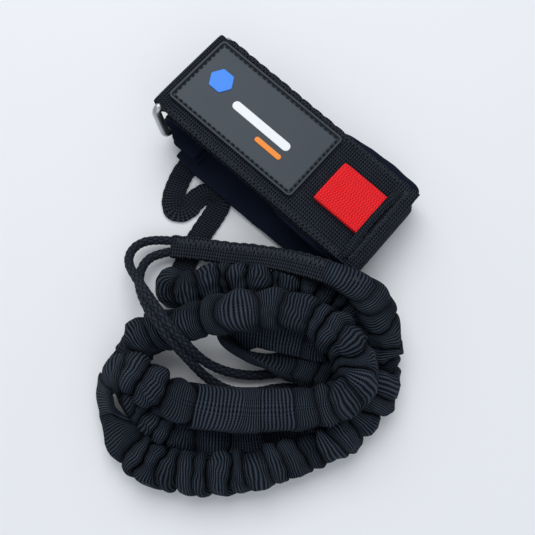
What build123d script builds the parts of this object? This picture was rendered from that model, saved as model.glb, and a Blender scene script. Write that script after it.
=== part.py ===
from build123d import *

import math
import os

# A wing-foil wrist leash: a padded cuff that closes with a webbing flap through a steel ring,
# and a coiled elastic leash of scrunched tubular webbing that ends in a braided rope loop.
# Millimetres. X runs along the flattened cuff towards the pull tab, Y across the strap, Z up.
# The origin is the middle of the cuff's length and of its pad's width, on the ground.

# ---- driving dimensions -------------------------------------------------------------------
CUFF_LENGTH = 136.0  # from the turn of webbing round the ring to the end of the flap
PAD_WIDTH = 68.0
PAD_T = 4.5
PAD_BENDS = [60, 40, 5, 5]  # radii from the low end, over the nose, to the top
STRAP_WIDTH = 50.0
STRAP_T = 1.6
STRAP_Y = -2.0  # the strap is sewn a little off the pad's middle
FLAP_WIDTH = 53.5  # its near edge is in line with the strap's
FLAP_Y = -0.25
FLAP_NECK = 50.6  # where it turns round the ring's bar
FLAP_SHOULDER = 5.0
FLAP_T = 1.8
FASTENER_WIDTH = 46.0
LOOP_T = 1.0
HOOK_T = 0.8
PEEL_GAP = 0.3  # between the two faces of the hook and loop
LOOP_START, LOOP_END = 22.0, 111.0  # along the strap from the ring's upper bar
HOOK_START, HOOK_END = 24.0, 109.0
HEM_START = 114.0

RING_WIRE_R = 2.4
RING_INNER_WIDTH = 51.6
RING_CORNER_R = 2.9
RING_Y = -0.5
TURN_GAP = 0.2  # webbing to ring wire
FLAP_TILT = 5.5  # degrees that the top of the cuff falls towards the pull tab
RING_TOP_Z = 35.6
RING_LOW = (-60.5, 13.9)  # X and Z of the ring's lower bar
KEEPER_T = 2.2
KEEPER_WIDTH = 47.0
KEEPER_GAP = 0.3
KEEPER_ROWS = (-44.0, -41.0)
KEEPER_START, KEEPER_FLAT, KEEPER_END = -37.0, -49.0, -39.0
KEEPER_DROP = 0.55  # its first layer dips to meet the pad
KEEPER_ROUND, KEEPER_RAMP = 5.0, 14.0  # past the bar, where it leaves the turn and lands
KEEPER_START_R, KEEPER_END_R = 20.0, 3.0
KEEPER_SLACK = 0.05  # what a bend is short of its limit
BEND_SLACK = 0.01
BEND_SHARE = 0.45  # of the shorter side that a cord's bend takes up
ANCHOR_GAP = 0.15

PATCH_LENGTH = 83.0
PATCH_WIDTH = 44.5
PATCH_T = 1.0
PATCH_RIM_T = 1.7
# The three raised marks: sizes, and places from the patch's start and its middle.
HEXAGON_R, HEXAGON_SIDES = 7.0, 6
HEXAGON_AT = (15.0, 3.0)
BAR_SIZE, BAR_AT = (38.0, 5.0), (47.0, -2.0)
SHORT_BAR_SIZE, SHORT_BAR_AT = (17.0, 3.0), (57.5, -9.0)
PATCH_RIM_WIDTH = 1.7
PATCH_Y = 2.6
PATCH_START = 0.6
MARK_T = 0.5

TAB_LENGTH = 27.0
TAB_WIDTH = 25.0
TAB_T = 1.4
TAB_Y = 1.0
TAB_GAP = 0.5  # between its two layers
TAB_END = 120.0  # from the ring's upper bar to the tab's seam
WELT_LENGTH = 4.0
WELT_T = 3.6
WELT_INSET = 4.0
WELT_R = 1.6
SEAM_LENGTH = 3.0
SEAM_GAP = 0.9
SEAM_STITCHES = 26
SEAM_LEAN = 24.0

THREAD_R = 0.35
STITCH_LENGTH = 2.2
STITCH_PITCH = 3.2
ROW_INSET = 2.0  # from the end of a row to the edge of its cloth
EDGE_INSET = 0.9

ANCHOR_LENGTH = 18.0
ANCHOR_WIDTH = 44.0
TETHER_WIDTH = 12.0
TETHER_T = 2.0
ROPE_D = 5.0
TUBE_D = 21.0
SLEEVE_WIDTH = 12.0
SLEEVE_T = 4.0
TACK_START = 2.5
TACK_LENGTH = 5.0
TACK_THREADS = 7
TACK_MARGIN = 3.0
TACK_LIFT = 0.01
TACK_LEAN = 12.0

COIL_CENTRE = (57.0, -104.0)
COIL_TURN = 41.0  # degrees from X to the coil's long axis
COIL_OUTER = (84.0, 60.0)
COIL_UPPER = (66.0, 47.0)
COIL_HOLE = (41.0, 24.0)
COIL_UPPER_Z = 33.0
COIL_EDGE_R = 6.0
CORE_R = 3.0
CORE_GAP = 0.3
CORE_Z = 10.5
CORE_LOOP = (66.0, 43.0)

# ---- what follows from them ---------------------------------------------------------------
TURN_R = RING_WIRE_R + TURN_GAP
BAR_X = -CUFF_LENGTH / 2 + TURN_R + FLAP_T
TILT = math.radians(FLAP_TILT)
FLAP_END = (CUFF_LENGTH / 2 - BAR_X - TURN_R * math.sin(TILT)) / math.cos(TILT) - 0.2
FLAP_Z = TURN_R  # the flap's underside above the bar's axis, square to the strap
HOOK_Z = FLAP_Z - HOOK_T
LOOP_Z = HOOK_Z - PEEL_GAP - LOOP_T
STRAP_Z = LOOP_Z - STRAP_T
PAD_Z = STRAP_Z - PAD_T
FLAP_TOP = FLAP_Z + FLAP_T
PAD_TO_STRAP = (PAD_T + STRAP_T) / 2
KEEPER_TURN = TURN_R + KEEPER_T / 2
KEEPER_LOW = RING_LOW[1] - KEEPER_TURN

# The pad's middle line in XZ: flat on its strap, up round the blunt end and back on top.
PAD_LOW_END = (-50.0, 6.6)
PAD_REST = (8.0, STRAP_T + PAD_T / 2)
PAD_LIFT = (36.0, STRAP_T + PAD_T / 2)
PAD_NOSE = (65.0, 11.5)
PAD_TOP_START = 77.0  # along the strap from the ring
PAD_NOSE_TOP = 127.6
STRAP_LOW_START = -26.0
DIP_START, DIP_END = 18.0, 5.0  # where the strap dips under the ring's upper bar
DIP_R = 6.0
DIP_GAP = 0.3


def on_top(along, height):
    """X and Z of a place along the sloping top, measured from the ring's upper bar."""
    x = BAR_X + along * math.cos(TILT) + height * math.sin(TILT)
    z = RING_TOP_Z - along * math.sin(TILT) + height * math.cos(TILT)
    return (x, z)


def tilted(shape):
    """A shape drawn level from the ring's upper bar, put where the sloping top is."""
    return Pos(BAR_X, 0, RING_TOP_Z) * Rot(0, FLAP_TILT, 0) * shape


def slab(x0, x1, width, y, z0, z1):
    """A flat plate on the top, from x0 to x1 along the strap."""
    plate = Pos((x0 + x1) / 2, y, (z0 + z1) / 2) * Box(x1 - x0, width, z1 - z0)
    return tilted(plate)


def shifted_line(points, radii, off):
    """The same polyline with its corners' radii, moved off to its left."""
    units = []
    for a, b in zip(points, points[1:]):
        length = math.dist(a, b)
        units.append(((b[0] - a[0]) / length, (b[1] - a[1]) / length))
    moved = [(points[0][0] - off * units[0][1], points[0][1] + off * units[0][0])]
    rounded = []
    for i, radius in enumerate(radii):
        u, v = units[i], units[i + 1]
        cross = u[0] * v[1] - u[1] * v[0]
        slide = off * (u[0] * v[0] + u[1] * v[1] - 1) / cross
        x = points[i + 1][0] - off * u[1] + slide * u[0]
        z = points[i + 1][1] + off * u[0] + slide * u[1]
        moved.append((x, z))
        rounded.append(radius - off if cross > 0 else radius + off)
    last = points[-1]
    moved.append((last[0] - off * units[-1][1], last[1] + off * units[-1][0]))
    return moved, rounded


def rounded_path(points, radii, close=False):
    """Straight runs joined by tangent arcs, as one wire."""
    with BuildLine() as line:
        FilletPolyline(*points, radius=radii, close=close)
    return line.wires()[0]


def ribbon(points, radii, width, thickness, y):
    """A strip of cloth that follows a line in XZ."""
    path = rounded_path([(x, y, z) for x, z in points], radii)
    section = Plane(origin=path @ 0, z_dir=path % 0, x_dir=(0, 1, 0)) * Rectangle(width, thickness)
    return sweep(section, path=path)


def stitches(start, end, steps):
    """A row of short round threads from start to end, lying on the cloth."""
    a, b = Vector(*start), Vector(*end)
    along = (b - a).normalized()
    angle = math.degrees(math.atan2(along.Y, along.X))
    threads = []
    for i in range(steps):
        spot = a + (b - a) * ((i + 0.5) / steps) + Vector(0, 0, THREAD_R)
        thread = Rot(0, 90, 0) * Cylinder(THREAD_R, STITCH_LENGTH)
        threads.append(Pos(*spot) * Rot(0, 0, angle) * thread)
    return threads


# ---- the cuff's pad and strap -------------------------------------------------------------
def pad_line():
    nose_top = on_top(PAD_NOSE_TOP, PAD_Z + PAD_T / 2)
    top_end = on_top(PAD_TOP_START, PAD_Z + PAD_T / 2)
    return [PAD_LOW_END, PAD_REST, PAD_LIFT, PAD_NOSE, nose_top, top_end], PAD_BENDS


def neoprene_pad():
    points, radii = pad_line()
    return ribbon(points, radii, PAD_WIDTH, PAD_T, 0)


def base_strap():
    """The webbing sewn outside the pad, which runs on alone to the ring."""
    points, radii = pad_line()
    outer, rounded = shifted_line(points, radii, -PAD_TO_STRAP)
    rise = (outer[1][1] - outer[0][1]) / (outer[1][0] - outer[0][0])
    outer[0] = (STRAP_LOW_START, outer[1][1] + rise * (STRAP_LOW_START - outer[1][0]))
    level = STRAP_Z + STRAP_T / 2
    dipped = -TURN_R - STRAP_T / 2 - DIP_GAP
    outer[-1] = on_top(DIP_START, level)
    outer.append(on_top(DIP_END, dipped))
    return ribbon(outer, rounded + [DIP_R], STRAP_WIDTH, STRAP_T, STRAP_Y)


def loop_fastener():
    return slab(LOOP_START, LOOP_END, FASTENER_WIDTH, STRAP_Y, LOOP_Z, LOOP_Z + LOOP_T)


def base_stitching():
    """Two rows of thread that hold the loop fastener to the base strap."""
    rows = []
    for side in (-1, 1):
        y = STRAP_Y + side * (FASTENER_WIDTH / 2 + EDGE_INSET)
        z = STRAP_Z + STRAP_T
        steps = int((LOOP_END - LOOP_START) / STITCH_PITCH)
        rows += stitches((LOOP_START, y, z), (LOOP_END, y, z), steps)
    return Compound([tilted(thread) for thread in rows])


# ---- the ring and its keeper --------------------------------------------------------------
def ring_keeper():
    """A strip sewn to the pad's low end that goes round the ring's lower bar and back."""
    x, z = RING_LOW
    turn, low = KEEPER_TURN, KEEPER_LOW
    points = [
        (KEEPER_START, low - KEEPER_DROP),
        (KEEPER_FLAT, low),
        (x - turn, low),
        (x - turn, z + turn),
        (x + KEEPER_ROUND, z + turn),
        (x + KEEPER_RAMP, low + KEEPER_T + KEEPER_GAP),
        (KEEPER_END, low + KEEPER_T + KEEPER_GAP),
    ]
    tight = turn - KEEPER_SLACK
    bends = [KEEPER_START_R, tight, tight, KEEPER_END_R, KEEPER_END_R]
    return ribbon(points, bends, KEEPER_WIDTH, KEEPER_T, STRAP_Y)


def keeper_stitching():
    """Two rows of thread across the keeper's doubled end."""
    top = KEEPER_LOW + 1.5 * KEEPER_T + KEEPER_GAP
    reach = KEEPER_WIDTH / 2 - ROW_INSET
    y0, y1 = STRAP_Y - reach, STRAP_Y + reach
    steps = int((y1 - y0) / STITCH_PITCH)
    rows = []
    for x in KEEPER_ROWS:
        rows += stitches((x, y0, top), (x, y1, top), steps)
    return Compound(rows)


def cuff_ring():
    """A rectangular ring of round steel wire."""
    x, z = RING_LOW
    height = math.dist((x, z), (BAR_X, RING_TOP_Z))
    half = RING_INNER_WIDTH / 2 + RING_WIRE_R
    corners = [(0, -half), (height, -half), (height, half), (0, half)]
    path = rounded_path(corners, RING_CORNER_R, close=True)
    section = Plane(origin=path @ 0, z_dir=path % 0) * Circle(RING_WIRE_R)
    ring = sweep(section, path=path)
    lean = math.degrees(math.atan2(RING_TOP_Z - z, BAR_X - x))
    return Pos(x, RING_Y, z) * Rot(0, -lean, 0) * ring


# ---- the flap -----------------------------------------------------------------------------
def flap_strap():
    """The turn of webbing round the ring's upper bar, and the flap itself."""
    middle = TURN_R + FLAP_T / 2
    turn = ribbon(
        [(0, -middle), (-middle, -middle), (-middle, middle), (FLAP_END, middle)],
        [middle - BEND_SLACK, middle - BEND_SLACK],
        FLAP_WIDTH,
        FLAP_T,
        FLAP_Y,
    )
    outside = Box(4 * FLAP_SHOULDER, 2 * FLAP_WIDTH, 8 * middle) - Box(
        4 * FLAP_SHOULDER, FLAP_NECK, 8 * middle
    )
    return tilted(turn - Pos(-FLAP_SHOULDER, RING_Y, 0) * outside)


def hook_fastener():
    return slab(HOOK_START, HOOK_END, FASTENER_WIDTH, STRAP_Y, HOOK_Z, HOOK_Z + HOOK_T)


def patch():
    """The moulded patch: a thin plate with a raised rim, seated on the flap."""
    low, plate_top = FLAP_TOP, FLAP_TOP + PATCH_T
    middle = PATCH_START + PATCH_LENGTH / 2
    plate = extrude(RectangleRounded(PATCH_LENGTH, PATCH_WIDTH, 2), PATCH_RIM_T)
    inner = RectangleRounded(
        PATCH_LENGTH - 2 * PATCH_RIM_WIDTH, PATCH_WIDTH - 2 * PATCH_RIM_WIDTH, 1.2
    )
    recess = Pos(0, 0, plate_top - low) * extrude(inner, PATCH_RIM_T)
    return tilted(Pos(middle, PATCH_Y, low) * (plate - recess))


def mark(outline, x, y):
    """A flat raised shape on the patch; x is from the patch's left end, y from its middle."""
    solid = extrude(outline, MARK_T)
    return tilted(Pos(PATCH_START + x, PATCH_Y + y, FLAP_TOP + PATCH_T) * solid)


def mark_hexagon():
    return mark(RegularPolygon(radius=HEXAGON_R, side_count=HEXAGON_SIDES), *HEXAGON_AT)


def mark_bar():
    return mark(SlotOverall(*BAR_SIZE), *BAR_AT)


def mark_short_bar():
    return mark(SlotOverall(*SHORT_BAR_SIZE), *SHORT_BAR_AT)


def patch_stitching():
    """Thread all round the patch, just inside its rim."""
    inset = PATCH_RIM_WIDTH + EDGE_INSET
    z = FLAP_TOP + PATCH_T
    x0, x1 = PATCH_START + inset, PATCH_START + PATCH_LENGTH - inset
    y0, y1 = PATCH_Y - PATCH_WIDTH / 2 + inset, PATCH_Y + PATCH_WIDTH / 2 - inset
    corners = [(x0, y0, z), (x1, y0, z), (x1, y1, z), (x0, y1, z)]
    threads = []
    for a, b in zip(corners, corners[1:] + corners[:1]):
        threads += stitches(a, b, int(math.dist(a, b) / STITCH_PITCH))
    return Compound([tilted(thread) for thread in threads])


def flap_edge_stitching():
    """The two rows that bind the hook fastener to the flap, seen on its top edges."""
    threads = []
    start, end = FLAP_SHOULDER + 1, TAB_END
    for side in (-1, 1):
        y = FLAP_Y + side * (FLAP_WIDTH / 2 - EDGE_INSET)
        steps = int((end - start) / STITCH_PITCH)
        threads += stitches((start, y, FLAP_TOP), (end, y, FLAP_TOP), steps)
    return Compound([tilted(thread) for thread in threads])


def flap_lining():
    """The turned-under end of the webbing, below the flap's tip."""
    return slab(HEM_START, FLAP_END, FLAP_WIDTH - 1, FLAP_Y, FLAP_Z - STRAP_T, FLAP_Z)


def tab_welt():
    """The bound band that the pull tab is sewn under."""
    middle = TAB_END + WELT_LENGTH / 2 + PEEL_GAP
    band = Box(WELT_LENGTH, FLAP_WIDTH - 2 * WELT_INSET, WELT_T)
    band = Pos(middle, FLAP_Y, FLAP_TOP + WELT_T / 2) * band
    return tilted(fillet(band.edges().filter_by(Axis.Y).group_by(Axis.Z)[-1], WELT_R))


def tab_seam():
    """The close zigzag beside the welt."""
    x = TAB_END + WELT_LENGTH + SEAM_GAP + SEAM_LENGTH / 2
    reach = FLAP_WIDTH / 2 - WELT_INSET
    y0, y1 = FLAP_Y - reach, FLAP_Y + reach
    threads = []
    for i in range(SEAM_STITCHES):
        y = y0 + (y1 - y0) * (i + 0.5) / SEAM_STITCHES
        lean = SEAM_LEAN if i % 2 else -SEAM_LEAN
        thread = Rot(0, 90, 0) * Cylinder(THREAD_R, SEAM_LENGTH)
        threads.append(Pos(x, y, FLAP_TOP + THREAD_R) * Rot(0, 0, lean) * thread)
    return Compound([tilted(thread) for thread in threads])


# ---- the pull tab -------------------------------------------------------------------------
def pull_tab():
    """A loop of webbing folded flat, its fold towards the patch."""
    radius = (TAB_T + TAB_GAP) / 2
    low = FLAP_TOP + PEEL_GAP + TAB_T / 2
    fold = TAB_END - TAB_LENGTH + TAB_T / 2
    points = [(TAB_END, low), (fold, low), (fold, low + 2 * radius), (TAB_END, low + 2 * radius)]
    return tilted(ribbon(points, [radius - BEND_SLACK] * 2, TAB_WIDTH, TAB_T, TAB_Y))


# ---- the leash ----------------------------------------------------------------------------
# Routes, chosen by hand: the webbing tether from under the pad to the coil, the sewn sleeve
# over the coil's far side, and the rope loop that comes out of the sleeve and lies in the coil.
TETHER_ROUTE = [
    (-43.5, -24.0, 1.1),
    (-43.5, -40.5, 1.1),
    (-42.0, -58.5, 1.1),
    (-28.0, -58.5, 1.1),
    (-27.5, -34.5, 1.1),
    (-13.5, -34.5, 1.1),
    (-12.5, -48.5, 1.1),
    (-11.5, -59.0, 1.1),
    (-9.0, -69.5, 1.1),
    (-6.0, -80.0, 1.1),
]
SLEEVE_ROUTE = [
    (-16.0, -73.0, 7.0),
    (-3.0, -64.0, 7.5),
    (10.0, -56.5, 9.0),
    (23.0, -49.0, 13.0),
    (36.0, -43.0, 19.0),
    (48.5, -39.0, 25.0),
    (60.0, -35.5, 29.0),
    (70.0, -33.5, 31.0),
    (79.0, -32.5, 30.0),
    (85.0, -33.0, 27.0),
]
ROPE_ROUTE = [
    (-17.7, -70.5, 7.0),
    (-26.5, -77.0, 7.5),
    (-30.0, -86.5, 10.0),
    (-25.5, -95.0, 15.0),
    (-13.5, -99.5, 24.0),
    (3.0, -103.0, 35.0),
    (19.0, -106.5, 38.0),
    (31.0, -108.0, 28.0),
    (40.0, -107.5, 14.0),
    (50.0, -104.0, 8.0),
    (61.0, -97.0, 6.0),
    (70.0, -87.5, 5.0),
    (77.0, -77.0, 4.0),
    (84.0, -66.0, 3.5),
    (95.0, -58.0, 3.0),
    (108.0, -61.0, 3.0),
    (109.0, -75.0, 3.0),
    (97.0, -82.0, 3.0),
    (84.0, -85.5, 3.0),
    (75.0, -92.0, 3.0),
    (68.0, -101.5, 3.0),
    (58.0, -109.5, 4.5),
    (46.0, -113.0, 10.0),
    (35.0, -113.5, 20.0),
    (24.0, -113.5, 32.0),
    (13.0, -111.5, 36.5),
    (2.0, -108.5, 30.0),
    (-10.0, -104.0, 18.0),
    (-18.0, -97.0, 10.0),
    (-20.0, -88.5, 8.0),
    (-18.0, -81.0, 7.5),
    (-14.3, -75.5, 7.0),
]


def bend_radii(points):
    """For each corner the largest arc that its runs allow."""
    radii = []
    for a, b, c in zip(points, points[1:], points[2:]):
        before, after = Vector(*b) - Vector(*a), Vector(*c) - Vector(*b)
        half_turn = math.radians(before.get_angle(after)) / 2
        radii.append(BEND_SHARE * min(before.length, after.length) / math.tan(half_turn))
    return radii


def cord(name, points, section):
    """A cord of one section along a route, whose volume should be its section times its length."""
    radii = bend_radii(points)
    path = rounded_path(points, radii)
    ahead = path % 0
    side = Vector(-ahead.Y, ahead.X, 0).normalized()
    solid = sweep(Plane(origin=path @ 0, z_dir=ahead, x_dir=side) * section, path=path)
    print(name, "bend radii", [round(r, 1) for r in radii])
    print(name, "length", round(path.length, 1), "volume", round(solid.volume))
    print(name, "section x length", round(section.area * path.length))
    return solid


def leash_anchor():
    """The tether's end folded four times, sewn under the pad's low end."""
    rise = (PAD_REST[1] - PAD_LOW_END[1]) / (PAD_REST[0] - PAD_LOW_END[0])
    under = PAD_LOW_END[1] - PAD_T / 2 - ANCHOR_GAP
    x0, x1 = PAD_LOW_END[0], PAD_LOW_END[0] + ANCHOR_LENGTH
    low, high = under, under + rise * ANCHOR_LENGTH
    with BuildSketch(Plane.XZ) as side:
        with BuildLine():
            Polyline((x0, 0), (x1, 0), (x1, high), (x0, low), close=True)
        make_face()
    return Pos(0, STRAP_Y + ANCHOR_WIDTH / 2, 0) * extrude(side.sketch, ANCHOR_WIDTH)


def zigzag(start, end, count, span):
    """A bar tack: threads that cross a band from side to side, leaning each way in turn."""
    a, b = Vector(*start), Vector(*end)
    along = (b - a).normalized()
    across = math.degrees(math.atan2(along.Y, along.X)) + 90
    threads = []
    for i in range(count):
        spot = a + (b - a) * ((i + 0.5) / count) + Vector(0, 0, THREAD_R)
        lean = TACK_LEAN if i % 2 else -TACK_LEAN
        thread = Rot(0, 90, 0) * Cylinder(THREAD_R, span)
        threads.append(Pos(*spot) * Rot(0, 0, across + lean) * thread)
    return Compound(threads)


def anchor_bartack():
    """Holds the tether's folds together just outside its anchor."""
    top = TETHER_ROUTE[0][2] + TETHER_T / 2
    x, start = TETHER_ROUTE[0][0], TETHER_ROUTE[0][1] - ROW_INSET
    end = start - TACK_LENGTH
    return zigzag((x, start, top), (x, end, top), TACK_THREADS, TETHER_WIDTH - TACK_MARGIN)


def sleeve_bartack():
    """The tack at the sleeve's mouth that locks the rope's two ends in."""
    a, b = Vector(*SLEEVE_ROUTE[0]), Vector(*SLEEVE_ROUTE[1])
    along, lift = (b - a).normalized(), Vector(0, 0, SLEEVE_T / 2 + TACK_LIFT)
    start = a + along * TACK_START + lift
    end = start + along * TACK_LENGTH
    return zigzag(start, end, TACK_THREADS, SLEEVE_WIDTH - TACK_MARGIN)


def tether_webbing():
    return cord("tether_webbing", TETHER_ROUTE, Rectangle(TETHER_WIDTH, TETHER_T))


def rope_sleeve():
    return cord("rope_sleeve", SLEEVE_ROUTE, Rectangle(SLEEVE_WIDTH, SLEEVE_T))


def rope_loop():
    return cord("rope_loop", ROPE_ROUTE, Circle(ROPE_D / 2))


def oval(size):
    return Rot(0, 0, COIL_TURN) * Ellipse(*size)


def leash_coil():
    """The outer shape of the coiled tube: a low wide oval ring with a second turn on it."""
    lower = extrude(oval(COIL_OUTER), TUBE_D)
    upper = extrude(oval(COIL_UPPER), COIL_UPPER_Z)
    lower = fillet(lower.edges(), COIL_EDGE_R)
    upper = fillet(upper.edges().group_by(Axis.Z)[-1], COIL_EDGE_R)
    hole = extrude(oval(COIL_HOLE), 2 * COIL_UPPER_Z, both=True)
    x, y = COIL_CENTRE
    return Pos(x, y, 0) * (lower + upper - hole) - core_ring(CORE_R + CORE_GAP)


def core_ring(radius):
    """A round ring along the middle of the coil's lower turn."""
    a, b = CORE_LOOP
    corners = [(a, b, CORE_Z), (-a, b, CORE_Z), (-a, -b, CORE_Z), (a, -b, CORE_Z)]
    path = rounded_path(corners, b - 1, close=True)
    ring = sweep(Plane(origin=path @ 0, z_dir=path % 0) * Circle(radius), path=path)
    return Pos(*COIL_CENTRE, 0) * Rot(0, 0, COIL_TURN) * ring


def elastic_core():
    """The rubber cord sealed inside the scrunched tube."""
    return core_ring(CORE_R)


NODES = {
    "neoprene_pad": neoprene_pad,
    "base_strap": base_strap,
    "loop_fastener": loop_fastener,
    "base_stitching": base_stitching,
    "ring_keeper": ring_keeper,
    "keeper_stitching": keeper_stitching,
    "cuff_ring": cuff_ring,
    "flap_strap": flap_strap,
    "hook_fastener": hook_fastener,
    "flap_lining": flap_lining,
    "patch": patch,
    "mark_hexagon": mark_hexagon,
    "mark_bar": mark_bar,
    "mark_short_bar": mark_short_bar,
    "patch_stitching": patch_stitching,
    "flap_edge_stitching": flap_edge_stitching,
    "tab_welt": tab_welt,
    "tab_seam": tab_seam,
    "pull_tab": pull_tab,
    "leash_anchor": leash_anchor,
    "tether_webbing": tether_webbing,
    "rope_sleeve": rope_sleeve,
    "rope_loop": rope_loop,
    "leash_coil": leash_coil,
    "elastic_core": elastic_core,
    "anchor_bartack": anchor_bartack,
    "sleeve_bartack": sleeve_bartack,
}


def main():
    os.makedirs("parts", exist_ok=True)
    for name, make in NODES.items():
        shape = make()
        shape.label = name
        export_step(shape, f"parts/{name}.step")


main()
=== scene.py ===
import math
from functools import partial

import bpy
import numpy as np
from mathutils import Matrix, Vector


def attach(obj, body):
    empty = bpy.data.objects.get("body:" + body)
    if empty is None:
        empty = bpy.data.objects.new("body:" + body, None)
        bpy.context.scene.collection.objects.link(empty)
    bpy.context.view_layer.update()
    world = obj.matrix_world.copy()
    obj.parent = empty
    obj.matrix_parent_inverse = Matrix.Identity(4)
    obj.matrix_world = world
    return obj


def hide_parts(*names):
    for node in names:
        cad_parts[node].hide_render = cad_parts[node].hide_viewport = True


# A wing-foil wrist leash in the CAD model's frame, in metres: the cuff with its webbing, patch
# and pull tab, and the scrunched leash tube with its sleeve and braided rope loop.

SEED = 7

# ---- camera and light
CAMERA_TARGET = (0.0289, -0.0467, 0.0)
CAMERA_DISTANCE = 0.375
CAMERA_TURN = 41.0
CAMERA_HEIGHT = 72.5
CAMERA_LENS = 47.1
KEY_AT, KEY_POWER, KEY_COLOUR = (-0.35, 0.25, 0.95), 7.15, (0.985, 0.985, 0.98)
FILL_AT, FILL_POWER, FILL_COLOUR = (0.75, -0.65, 0.7), 2.6, (0.92, 0.96, 1.0)
LIGHT_SIZE = 0.9
SKY_COLOUR, SKY_STRENGTH = (0.93, 0.96, 1.0, 1.0), 0.5
PAPER = ((0.80, 0.815, 0.85), (0.825, 0.84, 0.87))

# ---- cloth: its colour in painted shade, in its creases and between its ribs, and where it is painted lit
BLACK = (0.0004, 0.0010, 0.0034)
BLACK_LIT = (0.070, 0.092, 0.128)
STRAP_LIT = (0.052, 0.062, 0.082)
RED = (0.90, 0.010, 0.014)
RED_LIT = (1.0, 0.060, 0.072)

# ---- the sloping top of the cuff
BAR = (-0.0636, 0.0356)  # X and Z of the ring's upper bar
TILT = math.radians(5.5)
TOP_UP = (math.sin(TILT), 0, math.cos(TILT))
FLAP_TOP = 0.0044
FLAP_T = 0.0018
STRAP_Y = -0.002
STRAP_WIDTH = 0.050
FLAP_Y = 0.0003
FLAP_WIDTH = 0.0546
STRAP_T = 0.0016
STRAP_Z = -0.0011
PAD_T = 0.0045
PAD_WIDTH = 0.068
PATCH_MIDDLE = (0.0419, 0.0020)
PATCH_SIZE = (0.083, 0.0434)
PATCH_T = 0.0010
PATCH_RIM = 0.0017
TAB_T = 0.0014
TAB_WIDTH = 0.025
TAB_Y = 0.001
LOOP_T = 0.0010
LOOP_HEIGHT = 0.0010
HOOK_T = 0.0008
HOOK_HEIGHT = 0.0022
HEM_T = 0.0015
HEM_HEIGHT = 0.0018
HEM_INSET = 0.001
WELT_WIDTH = 0.0042
WELT_T = 0.0040
THREAD_R = 0.00035
STITCH_PITCH = 0.0032

# ---- the flap's bound edges
OVERLOCK_SPAN = (0.006, 0.121)
OVERLOCK_REACH = (0.0027, 0.0030, 0.0026)  # beside the patch, past it, and on the far edge
OVERLOCK_INSET = 0.0006
OVERLOCK_LIFT = 0.0001
OVERLOCK_PITCH = 0.00115
OVERLOCK_LEAN = 0.0005
OVERLOCK_STRAY = (-0.0001, 0.0001)
OVERLOCK_R = 0.00036

# ---- the seam beside the pull tab
SEAM_START = 0.1244
SEAM_LENGTH = 0.0032
SEAM_REACH = 0.0235  # each way from the flap's middle line
SEAM_COUNT = 64
SEAM_LEAN = 0.0009
SEAM_R = 0.00045

# ---- routes, chosen one by one
# Each point is x, y, z. The tube's has a fourth value, how flat it lies there, from 0, round, to
# 1, flat, and a fifth where it is rolled on edge: the roll in degrees.
TETHER_ROUTE = [
    (-0.0435, -0.024, 0.0011), (-0.0435, -0.034, 0.0011), (-0.0405, -0.043, 0.0011),
    (-0.0365, -0.0515, 0.0011), (-0.0305, -0.0565, 0.0011), (-0.0255, -0.0515, 0.0011),
    (-0.027, -0.043, 0.0011), (-0.0235, -0.0335, 0.0011), (-0.015, -0.034, 0.0011),
    (-0.0125, -0.044, 0.0011), (-0.011, -0.055, 0.0011), (-0.0085, -0.0655, 0.0011),
    (-0.0055, -0.074, 0.0012), (-0.003, -0.08, 0.0016),
]
SLEEVE_ROUTE = [
    (-0.016, -0.073, 0.007), (-0.003, -0.064, 0.0075), (0.01, -0.0565, 0.009),
    (0.023, -0.049, 0.013), (0.036, -0.043, 0.019), (0.0485, -0.039, 0.025), (0.06, -0.0355, 0.029),
    (0.07, -0.0335, 0.031), (0.079, -0.0325, 0.03), (0.085, -0.033, 0.027),
]
ROPE_ROUTE = [
    (-0.0177, -0.0705, 0.007), (-0.0265, -0.077, 0.0075), (-0.03, -0.0865, 0.0095),
    (-0.0255, -0.095, 0.013), (-0.0135, -0.099, 0.02), (0.003, -0.103, 0.031),
    (0.019, -0.107, 0.036), (0.031, -0.108, 0.028), (0.04, -0.1075, 0.014), (0.05, -0.104, 0.008),
    (0.061, -0.097, 0.006), (0.07, -0.0875, 0.005), (0.077, -0.077, 0.004), (0.084, -0.066, 0.0035),
    (0.094, -0.06, 0.003), (0.104, -0.063, 0.003), (0.105, -0.074, 0.003), (0.096, -0.081, 0.003),
    (0.084, -0.0845, 0.003), (0.075, -0.092, 0.003), (0.068, -0.1015, 0.003),
    (0.058, -0.1095, 0.0045), (0.046, -0.1125, 0.01), (0.035, -0.112, 0.02),
    (0.024, -0.1115, 0.031), (0.013, -0.1095, 0.0345), (0.001, -0.106, 0.027),
    (-0.011, -0.1005, 0.0165), (-0.018, -0.0935, 0.01), (-0.02, -0.0865, 0.008),
    (-0.018, -0.081, 0.0075), (-0.0143, -0.0755, 0.007),
]
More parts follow.
